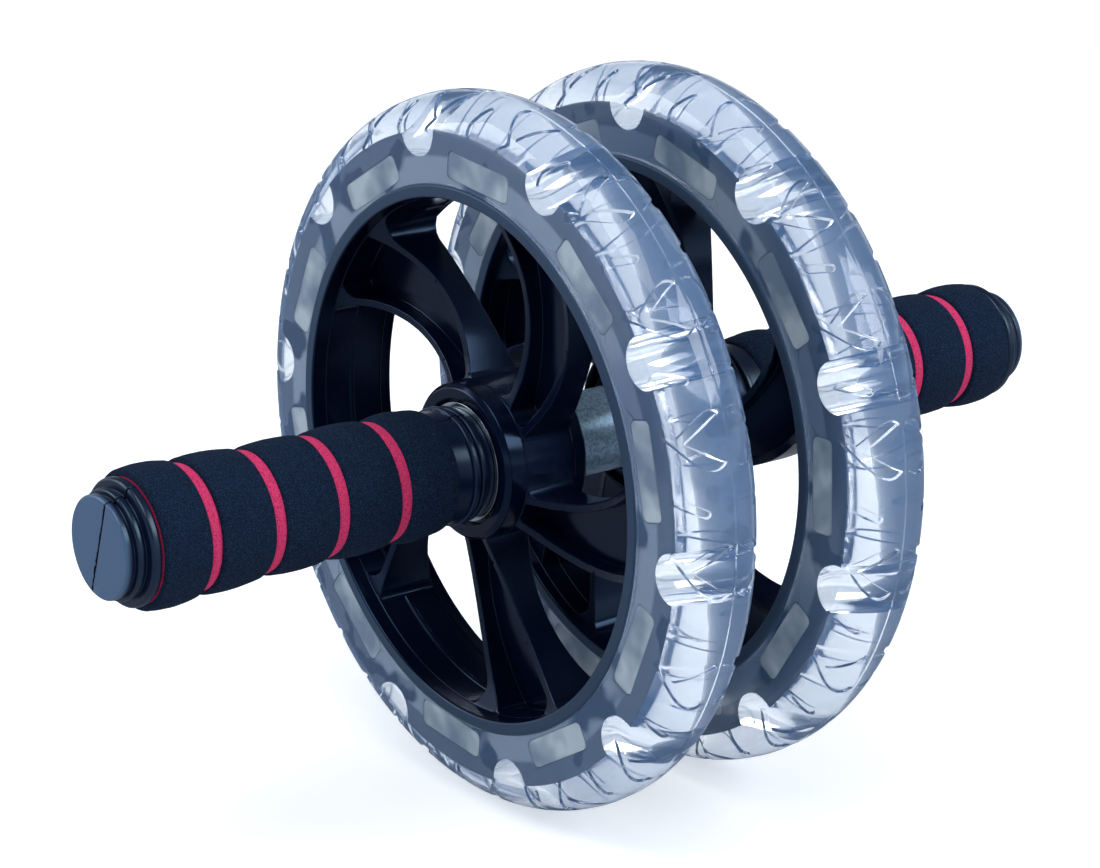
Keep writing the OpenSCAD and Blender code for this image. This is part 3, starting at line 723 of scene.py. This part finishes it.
def ringOf(name, tile, copies, firstAngle, side, finish):
    # The left tile is mirrored along the axle, and its copies still run the same way round
    points, faces = tile
    piece = meshObject(name, np.array(points) * mm * (1, -side, 1), faces)
    return bakeNodes(piece, ringTree, {
        "Copies": copies, "First Angle": math.radians(firstAngle),
        "Lift": (0, side * wheels["middle"] * mm, axleHeight * mm), "Finish": finish})


def closeUp(name, meshes, finishes, smoothBelow):
    # Joins meshes, each with its finish, to one closed piece with its faces outwards
    work = bmesh.new()
    for number, mesh in enumerate(meshes):
        before = len(work.faces)
        work.from_mesh(mesh)
        work.faces.ensure_lookup_table()
        for face in work.faces[before:]:
            face.material_index = number
            face.smooth = True
    bmesh.ops.delete(work, geom=[v for v in work.verts if not v.link_faces], context="VERTS")
    bmesh.ops.remove_doubles(work, verts=work.verts, dist=3e-6)
    bmesh.ops.dissolve_degenerate(work, dist=1e-7, edges=work.edges)
    bmesh.ops.recalc_face_normals(work, faces=work.faces)
    for edge in work.edges:
        if len(edge.link_faces) == 2 and edge.calc_face_angle(0) > math.radians(smoothBelow):
            edge.smooth = False
    openEdges = sum(1 for e in work.edges if len(e.link_faces) != 2)
    volume = round(work.calc_volume() * 1e6, 1)
    print(name, len(work.faces), "faces,", openEdges, "open edges,", volume, "cm3")
    mesh = bpy.data.meshes.new(name)
    for finish in finishes:
        mesh.materials.append(finish)
    work.to_mesh(mesh)
    work.free()
    return addObject(name, mesh)


tileOfTread = treadTile(tread)
seatPoints, seatParts, window = seatTile(seat, tread)
windowPane = paneTile(window, seat)
print("tread tile", len(tileOfTread[1]), "faces, seat tile", len(seatParts["sides"]), "faces")
for word, side in ends:
    turn = wheels["turn"][word]
    firstFork = turn + wheels["crotch"][word]
    firstBlock = turn + wheels["window"] - 180 / seat["blocks"]
    tyreFinishes = (vinylFinish, clingFinish, seatFinish, cloudyFinish)
    rings = [ringOf(word + "TreadRing", tileOfTread, tread["forks"], firstFork, side, vinylFinish)]
    for part, finish in zip(("sides", "seat", "windowWalls"), tyreFinishes[1:]):
        tile = (seatPoints, seatParts[part])
        rings.append(ringOf(word + "SeatRing", tile, seat["blocks"], firstBlock, side, finish))
    tyre = closeUp(word + "ClearTyre", rings, tyreFinishes, smoothBelow=34)
    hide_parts(word + "_tyre")
    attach(tyre, word + "_wheel")
    paneRing = ringOf(word + "PaneRing", windowPane, seat["blocks"], firstBlock, side, paneFinish)
    panes = closeUp(word + "WindowPanes", [paneRing], [paneFinish], smoothBelow=34)
    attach(panes, word + "_wheel")
print("tyres made")


# Moulded parts with rounded edges

edgeRounding = {
    "sharpFrom": 40, "steps": 4,  # degrees between two faces, strips across a rounded edge
    "hoops": [(146.5, 147.5, 0.4), (142.4, 144.25, 0.5)],  # from and to along the axle, and the radius there
    "pieces": {  # radius elsewhere and material slot
        "rim": (0.3, "rim_plastic"), "handle_front_shell": (0.22, "handle_plastic"),
        "handle_rear_shell": (0.22, "handle_plastic"), "outer_washer": (0.12, "bright_steel"),
        "inner_washer": (0.12, "bright_steel"),
    },
}


def isHoop(edge):
    # An edge that runs round the axle
    a, b = (v.co for v in edge.verts)
    radii = [math.hypot(p.x, p.z - axleHeight * mm) for p in (a, b)]
    return abs(a.y - b.y) < 0.01 * mm and abs(radii[0] - radii[1]) < 0.05 * mm


def roundEdges(work, look, width):
    sharp = [e for e in work.edges if len(e.link_faces) == 2
             and e.calc_face_angle(0) > math.radians(look["sharpFrom"])]
    groups, left = [], sharp
    for near, far, radius in look["hoops"]:
        hoop = [e for e in left if isHoop(e) and near * mm < abs(e.verts[0].co.y) < far * mm]
        groups.append((hoop, radius))
        taken = set(hoop)
        left = [e for e in left if e not in taken]
    for edges, size in groups + [(left, width)]:
        edges = [e for e in edges if e.is_valid]
        bmesh.ops.bevel(work, geom=edges, offset=size * mm, offset_type="OFFSET", segments=look["steps"],
                        profile=0.5, affect="EDGES", clamp_overlap=False, loop_slide=True)


def roundedCopy(node, name, look, width, finish):
    # The node's own shape with a small radius along its sharp edges
    work = bmesh.new()
    work.from_mesh(node.data)
    work.transform(node.matrix_world)
    bmesh.ops.remove_doubles(work, verts=work.verts, dist=2e-6)
    low, high = min(v.co.y for v in work.verts), max(v.co.y for v in work.verts)
    roundEdges(work, look, width)
    for v in work.verts:
        v.co.y = min(max(v.co.y, low), high)  # a rounded corner doesn't stand out past the node
    for face in work.faces:
        face.smooth = True
        face.material_index = 0
    mesh = bpy.data.meshes.new(name + "Raw")
    work.to_mesh(mesh)
    work.free()
    piece = addObject(name + "Raw", mesh)
    weighted = piece.modifiers.new("flats stay flat", "WEIGHTED_NORMAL")
    weighted.keep_sharp = False
    done = bpy.data.meshes.new_from_object(piece.evaluated_get(bpy.context.evaluated_depsgraph_get()))
    bpy.data.objects.remove(piece)
    done.name = name
    done.materials.clear()
    done.materials.append(finish)
    return addObject(name, done)


for name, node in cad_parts.items():
    word, kind = name.split("_", 1)
    if kind not in edgeRounding["pieces"]:
        continue
    width, slot = edgeRounding["pieces"][kind]
    title = word + "".join(part.capitalize() for part in kind.split("_")) + "Moulding"
    moulding = roundedCopy(node, title, edgeRounding, width, finishByPiece[kind])
    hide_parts(name)
    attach(moulding, word + "_wheel" if kind == "rim" else "axle")
    print(title, len(moulding.data.polygons), "faces")


# Foam grips

grip = {
    "handleIn": 51.4, "end": 138.5, "liner": 15.43, "crown": 16.8, "collar": 14.8,
    "bands": 5, "gap": 3.0, "fall": 0.45, "edge": 1.2, "nose": 5.6, "sides": 180,
    "bore": 13.63, "linerFrom": 51.95, "linerTo": 138.3, "bulge": 0.25,
    "grooveFrom": 67.7, "groovePitch": 18.65, "swellFrom": 96, "swell": {"right": 1.3, "left": 0.5},
    "innerShare": 0.6,  # how much of that swell the red layer has
    "bandWobble": 0.09, "linerWobble": 0.05,  # mm of soft unevenness
}
grooves = [grip["grooveFrom"] + k * grip["groovePitch"] for k in range(grip["bands"] - 1)]
bandStarts = [grip["handleIn"]] + [y + grip["gap"] / 2 for y in grooves]
bandEnds = [y - grip["gap"] / 2 for y in grooves] + [grip["end"]]


def bandSection(g, length, first):
    # Half outline of a band from its inner end to its outer end, as (along, radius)
    nose, top = (g["nose"] if first else g["edge"]), g["crown"] - g["fall"]
    low = g["collar"] if first else top - g["edge"]
    line = [(0.0, g["liner"] - (0.4 if first else 0))]
    line += [(nose * (1 - math.cos(a)), low + (top - low) * math.sin(a))
             for a in np.linspace(0.05, math.pi / 2, 8)]
    body = np.linspace(0, 1, 14)[1:-1]
    line += [(nose + b * (length - nose - g["edge"]), top + g["fall"] * (1 - (2 * b - 1) ** 2)) for b in body]
    line += [(length - g["edge"] * (1 - math.sin(a)), top - g["edge"] * (1 - math.cos(a)))
             for a in np.linspace(0, math.pi / 2 - 0.05, 7)]
    return line + [(length, g["liner"])]


def linerSection(g):
    # The red layer swells a little in each groove between two bands
    top = g["liner"] - 0.05
    line = [(g["linerFrom"], g["bore"]), (g["linerFrom"], top)]
    for middle in grooves:
        line += [(middle + u * g["gap"] / 2, top + g["bulge"] * (1 - u * u)) for u in np.linspace(-1, 1, 9)]
    return line + [(g["linerTo"] - 0.3, top), (g["linerTo"], top - 0.3), (g["linerTo"], g["bore"])]


def swollen(line, g, word, start):
    # The sleeve is stretched wider towards its outer end, where the cap holds it
    def growth(y):
        share = (start + y - g["swellFrom"]) / (g["end"] - g["swellFrom"])
        return g["swell"][word] * eased(min(1.0, max(0.0, share)))

    def taken(r):
        if r <= g["bore"]:
            return 0
        return 1 if r > g["liner"] + g["bulge"] else g["innerShare"]

    return [(y, r + taken(r) * growth(y)) for y, r in line]


def lathe(line, sides, wobble, rand):
    # A closed ring turned from its section; wobble is the size of its soft unevenness in mm
    a = np.arange(sides) * 2 * math.pi / sides
    whole = sum(rand.uniform(0.4, 1) * np.sin(k * a + rand.uniform(0, 6.3)) for k in (2, 3, 5, 7)) / 4
    points, faces, rows = [], [], len(line)
    for i, (y, r) in enumerate(line):
        row = sum(rand.uniform(0.2, 0.6) * np.sin(k * a + rand.uniform(0, 6.3)) for k in (3, 6, 11)) / 3
        soft = wobble if 1 < i < rows - 2 else 0
        radius = r + soft * (whole + row)
        slide = y + soft * 1.2 * np.sin(2 * a + i / rows)
        points += list(zip(radius * np.cos(a), slide, radius * np.sin(a)))
        j = (i + 1) % rows
        faces += [(i * sides + k, i * sides + (k + 1) % sides, j * sides + (k + 1) % sides, j * sides + k)
                  for k in range(sides)]
    return points, faces


def softPiece(name, rings, side, finish):
    points, faces = [], []
    for shift, (ringPoints, ringFaces) in rings:
        first = len(points)
        points += [(x * mm, side * (y + shift) * mm, (z + axleHeight) * mm) for x, y, z in ringPoints]
        faces += [tuple(first + i for i in f) for f in ringFaces]
    source = meshObject(name + "Source", points, faces)
    piece = closeUp(name, [source.data], [finish], smoothBelow=70)
    bpy.data.objects.remove(source)
    return piece


for word, side in ends:
    rand = np.random.RandomState(9 + side)
    bands = []
    for start, end in zip(bandStarts, bandEnds):
        section = swollen(bandSection(grip, end - start, start == bandStarts[0]), grip, word, start)
        bands.append((start, lathe(section, grip["sides"], grip["bandWobble"], rand)))
    liner = lathe(swollen(linerSection(grip), grip, word, 0), grip["sides"], grip["linerWobble"], rand)
    foamBands = softPiece(word + "FoamBands", bands, side, blackFoamFinish)
    foamLiner = softPiece(word + "FoamLiner", [(0, liner)], side, redFoamFinish)
    dressed = ((foamBands, "_grip_bands", "black_foam"), (foamLiner, "_grip_liner", "red_foam"))
    for piece, node, slot in dressed:
        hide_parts(word + node)
        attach(piece, "axle")
print("foam made")


# Rough edge of the joint between a handle's halves, where it crosses the end

joint = {
    "angle": 72.0, "width": 0.45, "proud": 0.04, "depth": 0.25, "rough": 0.3,
    "profile": [(139.4, 16.0), (141.0, 16.0), (141.6, 15.4), (141.62, 13.4), (142.3, 13.4), (142.5, 13.95),
                (144.2, 13.95), (144.3, 12.6), (145.0, 12.6), (145.3, 13.0), (146.7, 13.0), (147.2, 12.4)],
}


def jointStrip(j, rand):
    # A ragged strip in the joint's plane: down the flange and steps, across the end and back
    corners = [(y, r) for y, r in j["profile"]] + [(y, -r) for y, r in reversed(j["profile"])]
    path = []
    for (y0, r0), (y1, r1) in zip(corners, corners[1:]):
        steps = max(1, int(math.hypot(y1 - y0, r1 - r0) / 0.7))
        path += [(y0 + (y1 - y0) * i / steps, r0 + (r1 - r0) * i / steps) for i in range(steps)]
    path = np.array(path + [corners[-1]])
    tangent = np.gradient(path, axis=0)
    outward = np.stack([np.abs(tangent[:, 1]), np.sign(path[:, 1]) * np.abs(tangent[:, 0])], 1)
    outward /= np.maximum(np.hypot(*outward.T), 1e-9)[:, None]
    a = math.radians(j["angle"])
    along, aside = np.array([math.cos(a), math.sin(a)]), np.array([math.sin(a), -math.cos(a)])
    shift = rand.uniform(-1, 1, len(path)) * j["rough"] * 0.6
    width = j["width"] / 2 + rand.uniform(-1, 1, len(path)) * j["rough"] * 0.5
    points = []
    for lift, edge in ((j["proud"], -1), (j["proud"], 1), (-j["depth"], 1), (-j["depth"], -1)):
        y = path[:, 0] + outward[:, 0] * lift
        r = path[:, 1] + outward[:, 1] * lift
        flat = r[:, None] * along + (shift + edge * width)[:, None] * aside
        points.append(np.stack([flat[:, 0], y, flat[:, 1]], 1))
    n = len(path)
    faces = [(a * n + i, a * n + i + 1, b * n + i + 1, b * n + i)
             for a, b in ((0, 1), (1, 2), (2, 3), (3, 0)) for i in range(n - 1)]
    faces += [(0, n, 2 * n, 3 * n), (n - 1, 2 * n - 1, 3 * n - 1, 4 * n - 1)]
    return np.concatenate(points), faces


for word, side in ends:
    points, faces = jointStrip(joint, np.random.RandomState(20 + side))
    # the left handle is the right one turned half round the upright axis
    place = [(-side * x * mm, side * y * mm, (z + axleHeight) * mm) for x, y, z in points]
    source = meshObject("jointSource", place, faces)
    jointEdge = closeUp(word + "JointEdge", [source.data], [jointFinish], smoothBelow=30)
    bpy.data.objects.remove(source)
    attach(jointEdge, "axle")
print("joint edges made")


# Stage and light

studio = {
    "floorColour": (0.8, 0.81, 0.82, 1), "floorInGloss": (0.28, 0.3, 0.34, 1),
    "floorGlow": 0.6, "floorGloss": 0.04,
    "world": (0.9, 0.95, 1.0, 1), "worldLevel": 0.42,  # light that the white surroundings give
    "ceiling": 0.12,  # how bright the dim upper part shows in gloss
    "softboxes": [  # name, place, aim, size, watts, colour
        ("topBox", (0.3, -0.5, 1.5), (0, 0, 0.09), (1.0, 1.0), 9, (1.0, 0.99, 0.97)),
        ("frontBox", (0.88, 0.58, 0.81), (0, 0, 0.09), (0.6, 0.6), 6, (0.97, 0.98, 1.0)),
        ("leftBox", (-1.0, -0.9, 0.7), (0, 0, 0.09), (0.5, 0.9), 5, (0.95, 0.97, 1.0)),
    ],
}


def seenRays(wire):
    # 1 where the camera looks straight or through clear vinyl, and 1 in mirrored light
    path = wire.tree.nodes.new("ShaderNodeLightPath")
    direct, through, gloss = [Wire(wire.tree, path.outputs[n]) for n in (
        "Is Camera Ray", "Is Transmission Ray", "Is Glossy Ray")]
    return wire.maths("MAXIMUM", direct, through), gloss


def layFloor(s):
    floor = meshObject("floor", [(-12, -12, 0), (12, -12, 0), (12, 12, 0), (-12, 12, 0)], [(0, 1, 2, 3)])
    material, wire = startMaterial("pale floor")
    seen, gloss = seenRays(wire)
    tone = grain(wire, objectPlace(wire), 400, 2)
    paler = tuple(min(1, c * 1.02) for c in s["floorColour"][:3]) + (1,)
    lit = blendColours(wire, tone, s["floorColour"], paler)
    base = wire.node("ShaderNodeBsdfDiffuse", sockets={
        "Color": blendColours(wire, gloss * (1 - seen), lit, s["floorInGloss"])})
    glow = wire.node("ShaderNodeEmission", sockets={
        "Color": s["world"], "Strength": seen * s["floorGlow"] + gloss * (1 - seen) * s["floorGloss"]})
    finishMaterial(wire, wire.node("ShaderNodeAddShader", sockets={0: base, 1: glow}))
    floor.data.materials.append(material)


def surroundings(s):
    world = bpy.data.worlds.new("studio")
    world.use_nodes = True
    world.node_tree.nodes.clear()
    wire = Wire(world.node_tree)
    clear, gloss = seenRays(wire)
    height = wire.node("ShaderNodeSeparateXYZ", sockets={0: wire.node("ShaderNodeTexCoord", out=0)}, out=2)
    shown = wire.node("ShaderNodeMapRange", {"interpolation_type": "SMOOTHSTEP"}, {
        0: height, 1: 0.02, 2: 0.3, 3: 1.0, 4: s["ceiling"]})
    lit = (1 - clear) * (1 - gloss) * s["worldLevel"]
    sky = wire.node("ShaderNodeBackground", sockets={
        "Color": s["world"], "Strength": clear + gloss * (1 - clear) * shown + lit})
    wire.node("ShaderNodeOutputWorld", sockets={"Surface": sky})
    bpy.context.scene.world = world


def hangSoftboxes(boxes):
    for name, place, aim, size, watts, colour in boxes:
        lamp = bpy.data.lights.new(name, "AREA")
        lamp.shape = "RECTANGLE"
        lamp.size, lamp.size_y = size
        lamp.energy, lamp.color = watts, colour
        box = addObject(name, lamp)
        box.location = place
        box.rotation_mode = "QUATERNION"
        box.rotation_quaternion = (Vector(aim) - Vector(place)).to_track_quat("-Z", "Y")


layFloor(studio)
surroundings(studio)
hangSoftboxes(studio["softboxes"])
print("stage and lights made")
bpy.context.scene.view_settings.view_transform = "Standard"
